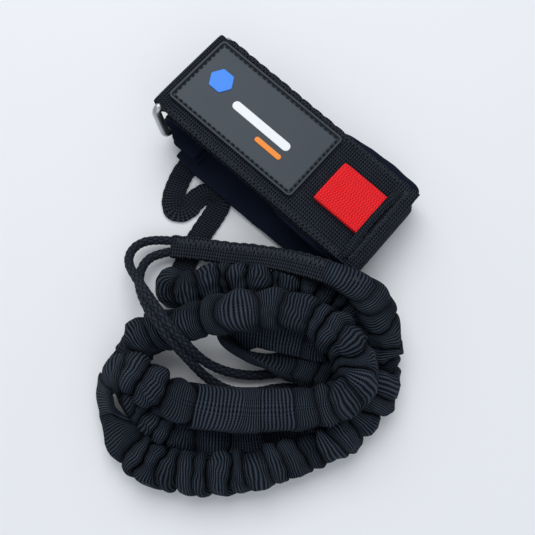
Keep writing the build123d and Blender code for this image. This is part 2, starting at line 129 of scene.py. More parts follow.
TUBE_ROUTE = [
    (-0.002, -0.08, 0.005, 0.5), (0.0, -0.089, 0.008, 0.1), (0.009, -0.086, 0.01, 0.0),
    (0.016, -0.073, 0.011, 0.0), (0.027, -0.063, 0.011, 0.0), (0.039, -0.056, 0.011, 0.0),
    (0.052, -0.047, 0.011, 0.0), (0.064, -0.041, 0.011, 0.0), (0.076, -0.038, 0.012, 0.0),
    (0.087, -0.04, 0.013, 0.0), (0.09, -0.049, 0.013, 0.2), (0.085, -0.06, 0.013, 0.4),
    (0.075, -0.067, 0.013, 0.7, -20), (0.064, -0.073, 0.013, 0.95, -18),
    (0.052, -0.0795, 0.012, 1.0, -28), (0.042, -0.084, 0.011, 1.0, -52),
    (0.037, -0.0885, 0.01, 1.0, -75), (0.0405, -0.0925, 0.01, 1.0, -75),
    (0.0515, -0.0915, 0.0095, 1.0, -75), (0.0635, -0.0865, 0.0085, 1.0, -65),
    (0.0765, -0.0775, 0.008, 0.7, -30), (0.09, -0.071, 0.009, 0.3), (0.101, -0.07, 0.01, 0.0),
    (0.108, -0.077, 0.01, 0.0), (0.107, -0.088, 0.01, 0.2), (0.099, -0.1, 0.008, 0.6),
    (0.089, -0.112, 0.006, 0.9), (0.076, -0.125, 0.006, 0.9), (0.064, -0.135, 0.007, 0.6),
    (0.053, -0.141, 0.009, 0.0), (0.041, -0.144, 0.01, 0.0), (0.029, -0.144, 0.0105, 0.0),
    (0.019, -0.14, 0.011, 0.0), (0.012, -0.132, 0.013, 0.0), (0.009, -0.123, 0.015, 0.0),
    (0.012, -0.113, 0.019, 0.0), (0.019, -0.104, 0.023, 0.1), (0.025, -0.095, 0.026, 0.3),
    (0.033, -0.086, 0.028, 0.5), (0.041, -0.077, 0.029, 0.5), (0.05, -0.068, 0.029, 0.5),
    (0.06, -0.061, 0.029, 0.4), (0.071, -0.057, 0.029, 0.1), (0.083, -0.057, 0.029, 0.0),
    (0.093, -0.06, 0.029, 0.0), (0.101, -0.065, 0.029, 0.0), (0.104, -0.074, 0.028, 0.0),
    (0.102, -0.083, 0.026, 0.3), (0.094, -0.092, 0.023, 0.6), (0.084, -0.102, 0.022, 1.0),
    (0.071, -0.113, 0.021, 1.0), (0.059, -0.122, 0.021, 1.0), (0.048, -0.129, 0.022, 0.9),
    (0.038, -0.132, 0.024, 0.0), (0.027, -0.133, 0.025, 0.0), (0.018, -0.135, 0.023, 0.3),
    (0.012, -0.141, 0.019, 0.8, 25), (0.013, -0.149, 0.016, 1.0, 58),
    (0.0205, -0.1555, 0.014, 1.0, 64), (0.0305, -0.159, 0.012, 0.8, 40),
    (0.041, -0.1605, 0.0105, 0.3), (0.053, -0.16, 0.0105, 0.0), (0.065, -0.155, 0.011, 0.0),
    (0.077, -0.146, 0.011, 0.0), (0.088, -0.134, 0.011, 0.0), (0.097, -0.123, 0.011, 0.0),
    (0.1024, -0.1133, 0.011, 0.0), (0.1084, -0.1013, 0.011, 0.0), (0.1134, -0.0883, 0.011, 0.0),
    (0.1149, -0.0753, 0.011, 0.0), (0.1139, -0.0623, 0.011, 0.0), (0.1086, -0.0529, 0.011, 0.0),
    (0.1028, -0.045, 0.013, 0.0), (0.098, -0.0376, 0.017, 0.1), (0.0925, -0.0345, 0.023, 0.3),
    (0.0868, -0.0328, 0.0272, 0.5), (0.08, -0.0322, 0.0292, 0.7), (0.073, -0.0328, 0.03, 0.85),
    (0.065, -0.0342, 0.0302, 0.8), (0.057, -0.0364, 0.028, 0.8),
]

# Each line of the cuff is X and Z, or along and height on the sloping top.
ACROSS = (0.0, 1.0, 0.0)
PAD_LINE = [
    (-0.05, 0.0066), (-0.02, 0.0048), (0.008, 0.0038), (0.036, 0.0039), (0.05, 0.0062),
    (0.065, 0.0098), (0.065, 0.021), (0.05, 0.0214), (0.03, 0.0232), (0.0127, 0.0249),
]
STRAP_LINE = [
    (-0.026, 0.0021), (-0.008, 0.0012), (0.008, 0.0009), (0.036, 0.0009), (0.051, 0.003),
    (0.0683, 0.0065), (0.0683, 0.0236), (0.052, 0.0242), (0.01, 0.0282), (-0.03, 0.0321),
    (-0.0457, 0.0336), (-0.053, 0.0335), (-0.059, 0.0314),
]
KEEPER_LINE = [
    (-0.037, 0.0097), (-0.049, 0.0101), (-0.059, 0.0102), (-0.0655, 0.01), (-0.0655, 0.0178),
    (-0.0585, 0.0177), (-0.0535, 0.0164), (-0.0465, 0.0128), (-0.039, 0.0127),
]
FLAP_LINE = [
    (0.002, -0.0035), (-0.0012, -0.0036), (-0.0039, -0.0026), (-0.0039, 0.0026), (-0.001, 0.0035),
    (0.008, 0.0035), (0.05, 0.0036), (0.09, 0.0034), (0.12, 0.0035), (0.1317, 0.0035),
]
TAB_LINE = [
    (0.12, 0.0054), (0.1, 0.0054), (0.0935, 0.0053), (0.0925, 0.0063), (0.0935, 0.0074),
    (0.1, 0.0073), (0.12, 0.0073),
]
WELT_LINE = [
    (0.1232, 0.0205, 0.0052), (0.1224, 0.015, 0.0062), (0.1216, 0.008, 0.0066),
    (0.1214, 0.0, 0.0067), (0.1218, -0.008, 0.0066), (0.1226, -0.016, 0.0062),
    (0.1236, -0.0245, 0.005),
]
LOOP_SPAN = (0.022, 0.111)
HOOK_SPAN = (0.024, 0.109)
HEM_SPAN = (0.114, 0.1315)
NECK_END = 0.019
NECK_REACH = 0.004
NECK_NARROWING = 0.055
FASTENER_WIDTH = 0.046
KEEPER_WIDTH = 0.047
KEEPER_T = 0.0022
NOSE_X = 0.066
NOSE_REACH = 0.012
PAD_ENDS = ((0.04, 0.006), (0.10, 0.008))  # how much each end narrows, and over what length
PAD_NEAR = (0.08, 0.15)  # how much the near side narrows at the nose and on the upper layer
PAD_FAR = (0.01, 0.19)
PAD_TUCK_X = 0.010  # the far side is drawn in on the ring's side of this
PAD_TUCK_REACH = 0.012
KEEPER_ROWS = (-0.044, -0.041)
KEEPER_ROW_INSET = 0.002
KEEPER_FLARE = 0.16  # how much wider the near side is, past the ring's bar
KEEPER_FLARE_X = -0.0565
KEEPER_TOP = 0.0139
ANCHOR_X = (-0.050, -0.032)
ANCHOR_Y = (-0.024, 0.020)
ANCHOR_LAYERS = ((0.0009, 0.0013), (0.0022, 0.0013), (0.0033, 0.0010))  # height and thickness

# ---- the leash's sizes
TETHER_WIDTH = 0.012
TETHER_T = 0.0020
TACK_SPAN = (-0.026, -0.033)
TACK_COUNT = 9
TACK_LEAN = 0.0006
TACK_REACH = 0.0045
SLEEVE_WIDTH = 0.012
SLEEVE_T = 0.0040
SLEEVE_PRESS_R = 0.0025
SLEEVE_GRIP = 0.044  # the tube's end, which is sewn round the sleeve's
ZIGZAG_START = 0.004
ZIGZAG_STOP = 0.012  # short of the sleeve's end
ZIGZAG_PITCH = 0.00125
ZIGZAG_LEAN = 0.0020
ZIGZAG_ACROSS = (0.0002, 0.0050)
ZIGZAG_R = 0.00055
ROPE_R = 0.0025
ROPE_LAY = 0.034
ROPE_STRANDS = 6  # each way
STRAND_WIDTH = 0.00196
STRAND_T = 0.00104
STRAND_DEPTH = 0.0008  # its middle, below the rope's surface
STRAND_WEAVE = 0.0003
STRAND_YARN = 0.0006
STRAND_SHIFT = 0.013  # between two strands' yarn patterns
HEART_R = 0.0016
TUBE_R = 0.0106
TUBE_CREASE_R = 0.0056
TUBE_FLAT = (0.0104, 0.0024)  # half width and half thickness where it lies flat
TUBE_AROUND = 52
FOLD_STEPS = 18
FOLD_PITCH = (0.0062, 0.0112)
FOLD_TILT = 0.0016
FOLD_WOBBLE = 0.0009
CREASE_SWING = 0.10
CREASE_SPREAD = 0.08
CREASE_RANGE = (0.42, 0.80)
PINCH_SHARE = 0.35  # of the folds, pinched on one side
PINCH_DIP = (0.12, 0.3)
LOBE_SPREAD = 0.05
LOBE_POWER = (0.5, 0.85)  # lower is boxier
ROLL_OVER = (0.45, 1.0)  # how far a lobe hangs over the next crease
MOUTH_START, MOUTH_REACH = 0.028, 0.020  # back from the tube's end, and over what length
MOUTH_NARROWING = 0.42
TAIL_REACH = 0.008
TAIL_NARROWING = 0.35
CRUMPLES = ((0.013, 0.0010), (0.006, 0.0005))  # size and depth
CRUMPLE_WAVES = 6
NEIGHBOUR_REACH = 0.034  # along the tube, within which it does not press on itself
CORE_R = 0.0030
FLOOR_GAP = 0.0003
PRESS = 0.0005  # how far two soft surfaces sink into each other
STRIP_SIDES = 56

# ---- the patch, from its lower edge up and in: inset, height and how lit
PATCH_CORNER = 0.0026
PATCH_SEAM_INSET = 0.0024
PATCH_THREAD_R = 0.00042
PATCH_LEVELS = [
    (0.0, 0.0, 0.2), (0.0, PATCH_RIM - 0.0004, 0.3), (0.00012, PATCH_RIM - 0.00012, 0.6),
    (0.0004, PATCH_RIM, 0.75), (0.0010, PATCH_RIM, 0.6), (0.0013, PATCH_RIM - 0.0001, 0.4),
    (0.0015, PATCH_RIM - 0.0005, 0.1), (0.0017, PATCH_T - 0.0002, 0.05),
    (0.0022, PATCH_T - 0.0002, 0.3), (0.0026, PATCH_T - 0.0001, 0.8), (0.0030, PATCH_T, 1.0),
    (0.0036, PATCH_T, 1.0), (0.0060, PATCH_T, 1.0),
]
MARK_T = 0.0005
MARK_BEVEL = 0.00022
MARK_SINK = 0.00002
# Name, slot, node, the outline's sizes, and the middle from the patch's start and middle line.
MARKS = (
    ("raised_hexagon", "mark_blue", "mark_hexagon", (0.007, 0.0012), (0.015, 0.003)),
    ("raised_long_bar", "mark_white", "mark_bar", (0.038, 0.005, 0.0024), (0.047, -0.002)),
    ("raised_small_bar", "mark_orange", "mark_short_bar", (0.017, 0.003, 0.0014), (0.0575, -0.009)),
)

# ---- the edges' puckers: far pitch, near pitch and depth
SLEEVE_PUCKER = (0.0052, 0.0044, 0.0005)
TETHER_PUCKER = (0.0041, 0.0047, 0.0004)
STRAP_PUCKER = (0.0074, 0.0036, 0.00035)
FLAP_PUCKER = (0.0074, 0.0034, 0.0006)
HEM_PUCKER = (0.0074, 0.0034, 0.0003)
TAB_PUCKER = (0.0017, 0.0017, 0.0002)
WELT_PUCKER = (0.0045, 0.0038, 0.0005)
ANCHOR_PUCKER = (0.004, 0.004, 0.0003)

scene = bpy.context.scene


# ---- lines and meshes
def smooth_line(points, step):
    """The NURBS line of a route, read back as evenly spaced points."""
    curve = bpy.data.curves.new("line", "CURVE")
    curve.dimensions = "3D"
    curve.resolution_u = 20
    spline = curve.splines.new("NURBS")
    spline.points.add(len(points) - 1)
    for knot, point in zip(spline.points, points):
        knot.co = (point[0], point[1], point[2], 1.0)
    spline.order_u = 3
    spline.use_endpoint_u = True
    holder = bpy.data.objects.new("line", curve)
    scene.collection.objects.link(holder)
    bpy.context.view_layer.update()
    mesh = bpy.data.meshes.new_from_object(holder)
    read = np.array([v.co[:] for v in mesh.vertices])
    bpy.data.objects.remove(holder)
    bpy.data.meshes.remove(mesh)
    bpy.data.curves.remove(curve)
    keep = np.r_[True, np.linalg.norm(np.diff(read, axis=0), axis=1) > 1e-7]
    read = read[keep]
    run = arc_length(read)
    even = np.linspace(0.0, run[-1], max(3, round(run[-1] / step) + 1))
    return along_line(read, run, even)


def arc_length(line):
    return np.r_[0.0, np.cumsum(np.linalg.norm(np.diff(line, axis=0), axis=1))]


def along_line(values, run, at):
    return np.stack([np.interp(at, run, values[:, k]) for k in range(values.shape[1])], -1)


def unit(vectors):
    return vectors / np.maximum(np.linalg.norm(vectors, axis=-1, keepdims=True), 1e-12)


def frames(line, level=(0.0, 0.0, 1.0)):
    """Directions ahead, to the side and up at each point, with no roll about the line."""
    ahead = unit(np.gradient(line, axis=0))
    side = unit(np.cross(np.array(level), ahead))
    return ahead, side, np.cross(ahead, side)


def turns(sides):
    return np.linspace(0.0, 2 * math.pi, sides, endpoint=False)


def ovals(line, side, up, turn, wide, tall):
    """Rings of points round a line; wide and tall are their half sizes."""
    side, up = np.reshape(side, (-1, 1, 3)), np.reshape(up, (-1, 1, 3))
    wide, tall = np.reshape(wide, (-1, 1, 1)), np.reshape(tall, (-1, 1, 1))
    across = side * wide * np.cos(turn)[:, None]
    return line[:, None, :] + across + up * tall * np.sin(turn)[:, None]


def finished(mesh, lit, corners, material):
    """An object of a mesh, smooth, with how lit each point is and the UVs of its first corners."""
    # The crown attribute holds painted light: how lit each point is painted, low where painted shade
    # falls.
    attribute = mesh.attributes.new("crown", "FLOAT", "POINT")
    attribute.data.foreach_set("value", np.asarray(lit, np.float32).ravel())
    layer = mesh.uv_layers.new(name="UVMap")
    uvs = np.zeros((len(mesh.loops), 2), np.float32)
    uvs[: len(corners)] = corners
    layer.data.foreach_set("uv", uvs.ravel())
    for polygon in mesh.polygons:
        polygon.use_smooth = True
    mesh.materials.append(material)
    obj = bpy.data.objects.new(mesh.name, mesh)
    scene.collection.objects.link(obj)
    return obj


def new_piece(name, rings, around, along, material, crown=None):
    """A closed skin over rings of points, with its UVs in metres: along it and around it."""
    count, sides = rings.shape[:2]
    verts = rings.reshape(-1, 3)
    i = np.arange(count - 1)[:, None] * sides
    k = np.arange(sides)[None, :]
    nxt = (k + 1) % sides
    faces = np.stack([i + k, i + nxt, i + sides + nxt, i + sides + k], -1).reshape(-1, 4)
    polygons = faces.tolist()
    polygons.append(list(range(sides))[::-1])
    polygons.append(list(range((count - 1) * sides, count * sides)))
    mesh = bpy.data.meshes.new(name)
    mesh.from_pydata(verts.tolist(), [], polygons)
    mesh.update()
    lit = np.ones((count, sides)) if crown is None else crown
    around = np.broadcast_to(around, (count, sides))
    seam = np.c_[around, around[:, 0] + np.linalg.norm(rings[:, 0] - rings[:, -1], axis=1)]
    seam[:, -1] += around[:, -1] - around[:, 0]
    u = along.reshape(count, -1)
    if u.shape[1] == 1:
        u = np.repeat(u, sides, axis=1)
    u = np.c_[u, u[:, 0]]
    a, b = np.meshgrid(np.arange(count - 1), np.arange(sides), indexing="ij")
    corner = np.stack(
        [
            np.stack([u[a, b], seam[a, b]], -1),
            np.stack([u[a, b + 1], seam[a, b + 1]], -1),
            np.stack([u[a + 1, b + 1], seam[a + 1, b + 1]], -1),
            np.stack([u[a + 1, b], seam[a + 1, b]], -1),
        ],
        2,
    ).reshape(-1, 2)
    return finished(mesh, lit, corner, material)


def join_pieces(name, parts):
    """One object from several, which keeps their UVs and first material."""
    bpy.ops.object.select_all(action="DESELECT")
    for part in parts:
        part.select_set(True)
    bpy.context.view_layer.objects.active = parts[0]
    bpy.ops.object.join()
    parts[0].name = name
    parts[0].data.name = name
    return parts[0]


def place(obj, body, slot, *nodes):
    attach(obj, body)
    if nodes:
        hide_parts(*nodes)
    return obj


def on_top(along, across, height):
    """A place on the sloping top, from the ring's upper bar, as a world point."""
    x = BAR[0] + along * math.cos(TILT) + height * math.sin(TILT)
    z = BAR[1] - along * math.sin(TILT) + height * math.cos(TILT)
    return np.array((x, across, z))


def top_frame(points):
    """Many places on the sloping top: rows of along, across, height."""
    p = np.asarray(points, float)
    x = BAR[0] + p[..., 0] * math.cos(TILT) + p[..., 2] * math.sin(TILT)
    z = BAR[1] - p[..., 0] * math.sin(TILT) + p[..., 2] * math.cos(TILT)
    return np.stack([x, p[..., 1], z], -1)


# ---- strips of webbing
def strip_outline(sides, squareness):
    """A flat loop's outline, from -1 to 1 each way, with round edges."""
    turn = turns(sides)
    across = np.sign(np.cos(turn)) * np.abs(np.cos(turn)) ** squareness
    height = np.sign(np.sin(turn)) * np.abs(np.sin(turn)) ** squareness
    return across, height


def edge_pucker(run, across, far_pitch, near_pitch, depth):
    """Small lobes that the edge stitching pulls into a strap's edges, as a share of 1."""
    far = np.abs(np.sin(math.pi * run / far_pitch)) ** 0.6
    near = np.abs(np.sin(math.pi * run / near_pitch)) ** 0.6
    lobes = np.where(across > 0, far[:, None], near[:, None])
    return depth * (lobes - 0.5) * np.abs(across) ** 6


def strip(
    name, line, width, thickness, material,
    side=None, pitches=None, wave=0.0, narrow=None, square=0.45,
):
    """A strip of webbing along a line: round edges, puckered seams and a slight wave."""
    ahead, level_side, up = frames(line)
    if side is not None:
        level_side = np.repeat(np.array([side], float), len(line), 0)
        up = unit(np.cross(ahead, level_side))
    run = arc_length(line)
    a, h = strip_outline(STRIP_SIDES, square)
    across = np.repeat(a[None, :], len(line), 0)
    height = np.repeat(h[None, :], len(line), 0)
    share = np.ones((len(line), 1)) if narrow is None else narrow.reshape(len(line), -1)
    lateral = across * width / 2 * np.where(across > 0, share[:, :1], share[:, -1:])
    lift = height * thickness / 2
    # Painted shade: the rounded sides are painted a quarter darker than the faces, and the puckers'
    # dips darker than their lobes.
    crown = 0.75 + 0.25 * np.abs(height)
    if pitches:
        pucker = edge_pucker(run, across, pitches[0], pitches[1], pitches[2])
        lateral = lateral + np.sign(across) * pucker
        lift = lift * (1 + 0.5 * pucker / pitches[2])
        crown = np.clip(crown + 0.6 * pucker / pitches[2], 0.1, 1.0)
    if wave:
        rng = np.random.default_rng(len(name) + SEED)
        phase = rng.uniform(0, 6.28, 4)
        sway = np.sin(run[:, None] * 190 + phase[0] + across)
        sway = sway + 0.6 * np.sin(run[:, None] * 430 + phase[1] - 2 * across)
        lift = lift + wave * sway * (0.4 + across**2)
    rings = line[:, None, :] + level_side[:, None, :] * lateral[..., None]
    rings = rings + up[:, None, :] * lift[..., None]
    around = np.where(height >= 0, across * width / 2, across * width / 2 + 0.2)
    return new_piece(name, rings, around, run, material, crown)


# ---- threads
def threads(name, ends, radius, material, up, bulge=1.0, sides=7, steps=7):
    """Short threads, each from a to b, that rise out of the cloth and dive back in."""
    parts_v = []
    polygons = []
    uvs = []
    turn = turns(sides)
    up = unit(np.array(up, float))
    for n, (a, b) in enumerate(ends):
        a, b = np.array(a, float), np.array(b, float)
        t = np.linspace(0, 1, steps)
        arch = 1 - np.abs(2 * t - 1) ** 3
        line = a + (b - a) * t[:, None] + up * ((arch - 1) * radius * 1.6 * bulge)[:, None]
        ahead = unit(b - a)
        side = unit(np.cross(up, ahead))
        size = radius * (0.55 + 0.45 * arch)
        ring = ovals(line, side, up, turn, size, size)
        base = len(parts_v) * steps * sides
        parts_v.append(ring.reshape(-1, 3))
        length = np.linalg.norm(b - a)
        for i in range(steps - 1):
            for k in range(sides):
                q = (k + 1) % sides
                near = base + i * sides
                far = near + sides
                polygons.append([near + k, near + q, far + q, far + k])
                u0, u1 = length * t[i] + n * 0.01, length * t[i + 1] + n * 0.01
                v0, v1 = k / sides * 0.002, (k + 1) / sides * 0.002
                uvs += [(u0, v0), (u0, v1), (u1, v1), (u1, v0)]
    mesh = bpy.data.meshes.new(name)
    mesh.from_pydata(np.concatenate(parts_v).tolist(), [], polygons)
    return finished(mesh, np.ones(len(mesh.vertices)), uvs, material)


def stitch_row(a, b, pitch=STITCH_PITCH, share=0.7, skew=0.0):
    """The ends of each stitch along a row from a to b."""
    a, b = np.array(a, float), np.array(b, float)
    count = max(1, int(np.linalg.norm(b - a) / pitch))
    rows = []
    step = (b - a) / count
    turn = np.array((-step[1], step[0], 0.0)) * skew
    for i in range(count):
        middle = a + step * (i + 0.5)
        rows.append((middle - step * share / 2 - turn, middle + step * share / 2 + turn))
    return rows


# ---- node materials
def new_material(name, roughness, specular=0.5, metallic=0.0):
    material = bpy.data.materials.new(name)
    material.use_nodes = True
    tree = material.node_tree
    shader = tree.nodes["Principled BSDF"]
    shader.inputs["Roughness"].default_value = roughness
    shader.inputs["Metallic"].default_value = metallic
    shader.inputs["Specular IOR Level"].default_value = specular
    return material, tree, shader


def fill(tree, socket, value):
    if isinstance(value, bpy.types.NodeSocket):
        tree.links.new(value, socket)
    elif value is not None:
        socket.default_value = value


def calc(tree, operation, a, b=None, c=None):
    node = tree.nodes.new("ShaderNodeMath")
    node.operation = operation
    for socket, value in zip(node.inputs, (a, b, c)):
        fill(tree, socket, value)
    return node.outputs[0]


def coordinate(tree, kind):
    node = tree.nodes.new("ShaderNodeTexCoord")
    return node.outputs[kind]


def split(tree, vector):
    node = tree.nodes.new("ShaderNodeSeparateXYZ")
    tree.links.new(vector, node.inputs[0])
    return node.outputs


def clouds(tree, where, scale, detail=3.0, rough=0.55):
    node = tree.nodes.new("ShaderNodeTexNoise")
    node.inputs["Scale"].default_value = scale
    node.inputs["Detail"].default_value = detail
    node.inputs["Roughness"].default_value = rough
    tree.links.new(where, node.inputs["Vector"])
    return node.outputs[0]


def cells(tree, where, scale):
    node = tree.nodes.new("ShaderNodeTexVoronoi")
    node.inputs["Scale"].default_value = scale
    tree.links.new(where, node.inputs["Vector"])
    return node.outputs["Distance"]


def two_colours(tree, amount, dark, light):
    node = tree.nodes.new("ShaderNodeMix")
    node.data_type = "RGBA"
    node.inputs[6].default_value = (*dark, 1.0)
    node.inputs[7].default_value = (*light, 1.0)
    tree.links.new(amount, node.inputs[0])
    return node.outputs[2]


def paint(tree, shader, amount, dark, light):
    tree.links.new(two_colours(tree, amount, dark, light), shader.inputs["Base Color"])


def raised(tree):
    """How lit each place is painted, from 0, deep painted shade in creases, dips, channels and
    under-passes, to 1, fully lit.
    """
    node = tree.nodes.new("ShaderNodeAttribute")
    node.attribute_name = "crown"
    return node.outputs["Fac"]


def relief(tree, shader, height, depth, strength=1.0):
    node = tree.nodes.new("ShaderNodeBump")
    node.inputs["Strength"].default_value = strength
    node.inputs["Distance"].default_value = depth
    tree.links.new(height, node.inputs["Height"])
    tree.links.new(node.outputs[0], shader.inputs["Normal"])


def waves(tree, value, pitch, offset=None):
    """0 to 1 and back once per pitch, in metres."""
    turned = calc(tree, "MULTIPLY", value, 2 * math.pi / pitch)
    if offset is not None:
        turned = calc(tree, "ADD", turned, offset)
    return calc(tree, "MULTIPLY_ADD", calc(tree, "SINE", turned), 0.5, 0.5)


def clamp_mix(tree, *terms, start=0.0):
    """A clamped sum of (value, share) terms."""
    total = start
    for value, share in terms:
        total = calc(tree, "MULTIPLY_ADD", value, share, total)
    node = total.node
    node.use_clamp = True
    return total


def webbing(name, dark, light, rib=0.0017, warp=0.0011, depth=0.0009, zigzag=0.0, wander=1.0, grid=0.2):
    """Ribbed webbing: weft ribs across it, warp yarns that divide them and lint; the ribs' tops are
    lighter, partly weave and partly painted shade between them, and the crown attribute paints shade
    into creases and dips, leaving the crowns lit.
    """
    material, tree, shader = new_material(name, 0.8, specular=0.08)
    u, v, _ = split(tree, coordinate(tree, "UV"))
    solid = coordinate(tree, "Object")
    drift = calc(tree, "MULTIPLY", clouds(tree, solid, 260, 2), wander)
    if zigzag:
        drift = calc(tree, "MULTIPLY_ADD", calc(tree, "PINGPONG", v, zigzag), 3.0 / zigzag, drift)
    ribs = waves(tree, u, rib, drift)
    yarns = waves(tree, v, warp, calc(tree, "MULTIPLY", ribs, 3.1))
    lint = clouds(tree, solid, 2600, 2)
    patchy = clouds(tree, solid, 90, 3)
    tone = clamp_mix(tree, (ribs, 0.85 - grid), (yarns, grid), (lint, 0.3), (patchy, 0.25), start=-0.42)
    # Painted shade: the creases and dips that the crown attribute marks are darkened.
    shade = calc(tree, "MULTIPLY", tone, calc(tree, "MULTIPLY_ADD", raised(tree), 0.9, 0.1))
    paint(tree, shader, shade, dark, light)
    height = clamp_mix(tree, (ribs, 0.9 - grid), (yarns, grid), (lint, 0.1))
    relief(tree, shader, height, depth)
    return material


def knit(name, dark, light):
    """Neoprene faced with fine jersey: small wales, soft mottling and a matt nap."""
    material, tree, shader = new_material(name, 0.85, specular=0.10)
    where = coordinate(tree, "UV")
    u, v, _ = split(tree, where)
    solid = coordinate(tree, "Object")
    wales = calc(tree, "MULTIPLY", waves(tree, u, 0.0007), waves(tree, v, 0.0009))
    mottle = clouds(tree, solid, 70, 4)
    nap = clouds(tree, solid, 3000, 2)
    shade = clamp_mix(tree, (mottle, 0.7), (nap, 0.35), (wales, 0.15), (mottle, -0.2))
    paint(tree, shader, shade, dark, light)
    height = clamp_mix(tree, (wales, 0.5), (nap, 0.4), (mottle, 0.1))
    relief(tree, shader, height, 0.00012, 0.7)
    return material


def moulded(name, dark, light, rough=0.5, depth=0.00006):
    """Moulded rubber or its print: a fine even grain, faint flow marks, and painted shade from the
    crown attribute in its channels and round its rim.
    """
    material, tree, shader = new_material(name, rough, specular=0.3)
    solid = coordinate(tree, "Object")
    grain = clouds(tree, solid, 2400, 3)
    flow = clouds(tree, solid, 45, 4)
    tone = clamp_mix(tree, (grain, 0.35), (flow, 0.35), start=0.35)
    shade = calc(tree, "MULTIPLY", tone, raised(tree))
    paint(tree, shader, shade, dark, light)
    gloss = calc(tree, "MULTIPLY_ADD", flow, 0.25, rough - 0.12)
    tree.links.new(gloss, shader.inputs["Roughness"])
    relief(tree, shader, clamp_mix(tree, (grain, 0.8), (flow, 0.2)), depth)
    return material


def thread_yarn(name, dark, light):
    """Sewing thread: twisted plies with a slight shine."""
    material, tree, shader = new_material(name, 0.65, specular=0.08)
    u, v, _ = split(tree, coordinate(tree, "UV"))
    twist = waves(tree, calc(tree, "ADD", u, v), 0.0006)
    lint = clouds(tree, coordinate(tree, "Object"), 2200, 2)
    shade = clamp_mix(tree, (twist, 0.6), (lint, 0.4))
    paint(tree, shader, shade, dark, light)
    relief(tree, shader, twist, 0.00008)
    return material


def steel(name):
    """Stainless wire: fine scratches along it, slightly uneven polish."""
    material, tree, shader = new_material(name, 0.28, metallic=1.0)
    solid = coordinate(tree, "Object")
    scratch = clouds(tree, solid, 1800, 4, 0.7)
    haze = clouds(tree, solid, 60, 3)
    shade = clamp_mix(tree, (haze, 0.7), (scratch, 0.3))
    paint(tree, shader, shade, (0.34, 0.35, 0.37), (0.60, 0.61, 0.63))
    gloss = calc(tree, "MULTIPLY_ADD", haze, 0.22, 0.28)
    tree.links.new(gloss, shader.inputs["Roughness"])
    relief(tree, shader, scratch, 0.00003, 0.6)
    return material


def fuzz(name, dark, light, size, depth):
    """Hook or loop facing: a dense nap of tiny curls."""
    material, tree, shader = new_material(name, 0.95, specular=0.05)
    solid = coordinate(tree, "Object")
    curls = cells(tree, solid, size)
    tufts = clouds(tree, solid, size * 0.35, 4)
    shade = clamp_mix(tree, (curls, 0.6), (tufts, 0.5))
    paint(tree, shader, shade, dark, light)
    relief(tree, shader, clamp_mix(tree, (curls, 0.6), (tufts, 0.4)), depth)
    return material


def yarn(name, dark, light):
    """Braided rope yarn: long fibres along each strand, with a soft sheen, and painted shade where a
    strand dives under and on its inner side.
    """
    material, tree, shader = new_material(name, 0.6, specular=0.08)
    u, v, _ = split(tree, coordinate(tree, "UV"))
    fibre = waves(tree, calc(tree, "MULTIPLY_ADD", u, 0.35, v), 0.0003)
    solid = coordinate(tree, "Object")
    lint = clouds(tree, solid, 1800, 3)
    tone = clamp_mix(tree, (fibre, 0.45), (lint, 0.6))
    shade = calc(tree, "MULTIPLY", tone, raised(tree))
    paint(tree, shader, shade, dark, light)
    relief(tree, shader, fibre, 0.00006, 0.8)
    return material


def paper_floor():
    """A pale, faintly uneven sheet under everything."""
    material, tree, shader = new_material("floor_paper", 0.95, specular=0.1)
    solid = coordinate(tree, "Object")
    tone = clouds(tree, solid, 3.0, 2)
    paint(tree, shader, tone, *PAPER)
    return material


# ---- camera, light and floor
def set_camera():
    turn, rise = math.radians(CAMERA_TURN), math.radians(CAMERA_HEIGHT)
    back = Vector((math.sin(turn) * math.cos(rise), -math.cos(turn) * math.cos(rise), math.sin(rise)))
    data = bpy.data.cameras.new("camera")
    data.lens = CAMERA_LENS
    data.sensor_width = 36.0
    data.clip_start = 0.01
    camera = bpy.data.objects.new("camera", data)
    camera.location = Vector(CAMERA_TARGET) + back * CAMERA_DISTANCE
    camera.rotation_euler = back.to_track_quat("Z", "Y").to_euler()
    scene.collection.objects.link(camera)
    scene.camera = camera


def area_light(name, at, size, power, colour):
    data = bpy.data.lights.new(name, "AREA")
    data.size = size
    data.energy = power
    data.color = colour
    light = bpy.data.objects.new(name, data)
    light.location = at
    aim = Vector(at) - Vector(CAMERA_TARGET)
    light.rotation_euler = aim.to_track_quat("Z", "Y").to_euler()
    scene.collection.objects.link(light)


def set_lights():
    area_light("key_light", KEY_AT, LIGHT_SIZE, KEY_POWER, KEY_COLOUR)
    area_light("fill_light", FILL_AT, LIGHT_SIZE, FILL_POWER, FILL_COLOUR)
    world = bpy.data.worlds.new("studio")
    world.use_nodes = True
    sky = world.node_tree.nodes["Background"]
    sky.inputs["Color"].default_value = SKY_COLOUR
    sky.inputs["Strength"].default_value = SKY_STRENGTH
    scene.world = world
    scene.view_settings.view_transform = "Standard"


def set_floor():
    mesh = bpy.data.meshes.new("floor")
    mesh.from_pydata([(-3, -3, 0), (3, -3, 0), (3, 3, 0), (-3, 3, 0)], [], [(0, 1, 2, 3)])
    mesh.materials.append(paper_floor())
    floor = bpy.data.objects.new("floor", mesh)
    scene.collection.objects.link(floor)


# ---- the scrunched tube
def shape_along(line, run, route):
    """How flat the tube lies at each point, and its roll, read from the nearest route points."""
    marks = np.array([p[:3] for p in route])
    places = []
    start = 0
    for mark in marks:
        window = line[start : start + 60]
        start = start + int(np.argmin(np.linalg.norm(window - mark, axis=1)))
        places.append(run[start])
    places = np.maximum.accumulate(np.array(places) + np.arange(len(places)) * 1e-6)
    rolls = [math.radians(p[4]) if len(p) > 4 else 0.0 for p in route]
    return np.interp(run, places, [p[3] for p in route]), np.interp(run, places, rolls)


def fold_starts(total, run, flat, rng):
    """Where each gathered fold begins along the tube; folds grow longer where it lies flat."""
    starts = [0.0]
    while starts[-1] < total:
        here = np.interp(starts[-1], run, flat)
        starts.append(starts[-1] + rng.uniform(*FOLD_PITCH) * (1 + 0.9 * here))
    starts = np.array(starts)
    return starts * total / starts[-1]


